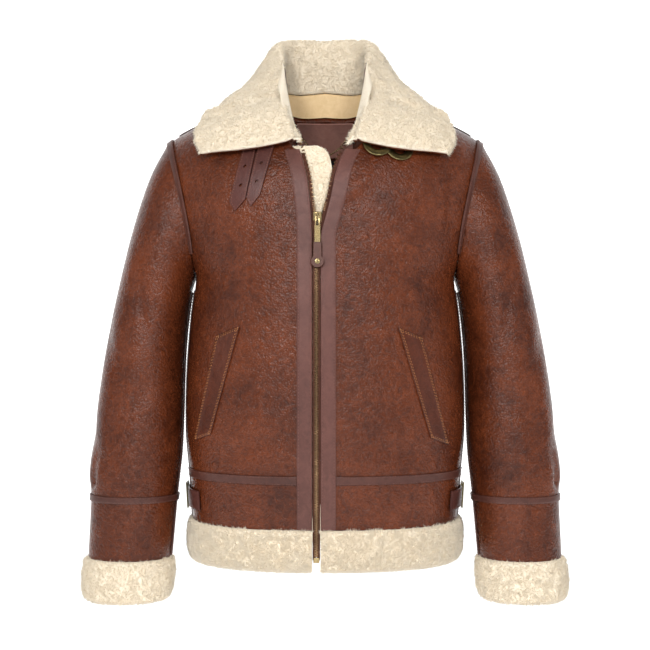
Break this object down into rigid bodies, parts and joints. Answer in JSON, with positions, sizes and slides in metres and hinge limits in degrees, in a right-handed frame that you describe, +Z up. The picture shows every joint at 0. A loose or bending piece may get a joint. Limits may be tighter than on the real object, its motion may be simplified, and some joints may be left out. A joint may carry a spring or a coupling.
{
  "type": "sheepskin flying jacket",
  "caption": "Hollow brown shearling flying jacket with a wide turned-out fleece collar, fleece hem and cuffs, front zip, slanted pockets and waist adjusters.",
  "frame": {"origin": "midway between the tops of the shoulder seams at the neck, where the wearer's shoulders carry the jacket", "axes": "+Z up, the front faces -Y, +X to the wearer's left"},
  "size_m": [0.721, 0.2955, 0.8487],
  "materials": {
    "skin": "glossy pebbled",
    "binding": "smooth satin",
    "fleece": "deep pile",
    "suede": "matt suede",
    "label": "matt",
    "tape": "woven",
    "brass": "antique"
  },
  "bodies": {
    "jacket": {"front_right": "skin", "front_left": "skin", "back": "skin", "waistband_front_right": "skin", "waistband_front_left": "skin", "waistband_back": "skin", "hem_fleece_right": "fleece", "hem_fleece_left": "fleece", "hem_fleece_back": "fleece", "placket_right": "binding", "placket_left": "binding", "zip_tape_right": "tape", "zip_tape_left": "tape", "waist_trim_right": "binding", "waist_trim_left": "binding", "waist_trim_back": "binding", "side_trim_right": "binding", "side_trim_left": "binding", "armhole_trim_right": "binding", "armhole_trim_left": "binding", "shoulder_trim_right": "binding", "shoulder_trim_left": "binding", "sleeve_right": "skin", "sleeve_left": "skin", "cuff_right": "skin", "cuff_left": "skin", "cuff_fleece_right": "fleece", "cuff_fleece_left": "fleece", "wrist_trim_right": "binding", "wrist_trim_left": "binding", "sleeve_seam_right": "binding", "sleeve_seam_left": "binding", "collar": "fleece", "neck_band": "suede", "back_facing": "binding", "neck_label": "label", "wind_guard": "fleece", "collar_ring_inner": "brass", "collar_ring_outer": "brass", "ring_loop_inner": "binding", "ring_loop_outer": "binding", "collar_strap_outer": "skin", "collar_strap_inner": "skin", "pocket_welt_right": "binding", "pocket_welt_left": "binding", "side_strap_right": "skin", "side_strap_left": "skin", "side_buckle_right": "brass", "side_buckle_left": "brass", "zip_slider": "brass", "zip_stop": "brass", "chain_plate_right": "brass", "chain_plate_left": "brass", "hanging_chain": "brass"},
    "pull": {"zip_puller": "brass", "pull_leather": "binding", "pull_rivet": "brass"}
  },
  "joints": [
    {"name": "pull_swing", "type": "hinge", "parent": "jacket", "child": "pull", "pos_m": [-0.0105, -0.15246, -0.1797], "axis": [-1, 0, 0], "range_deg": [0, 140]}
  ]
}
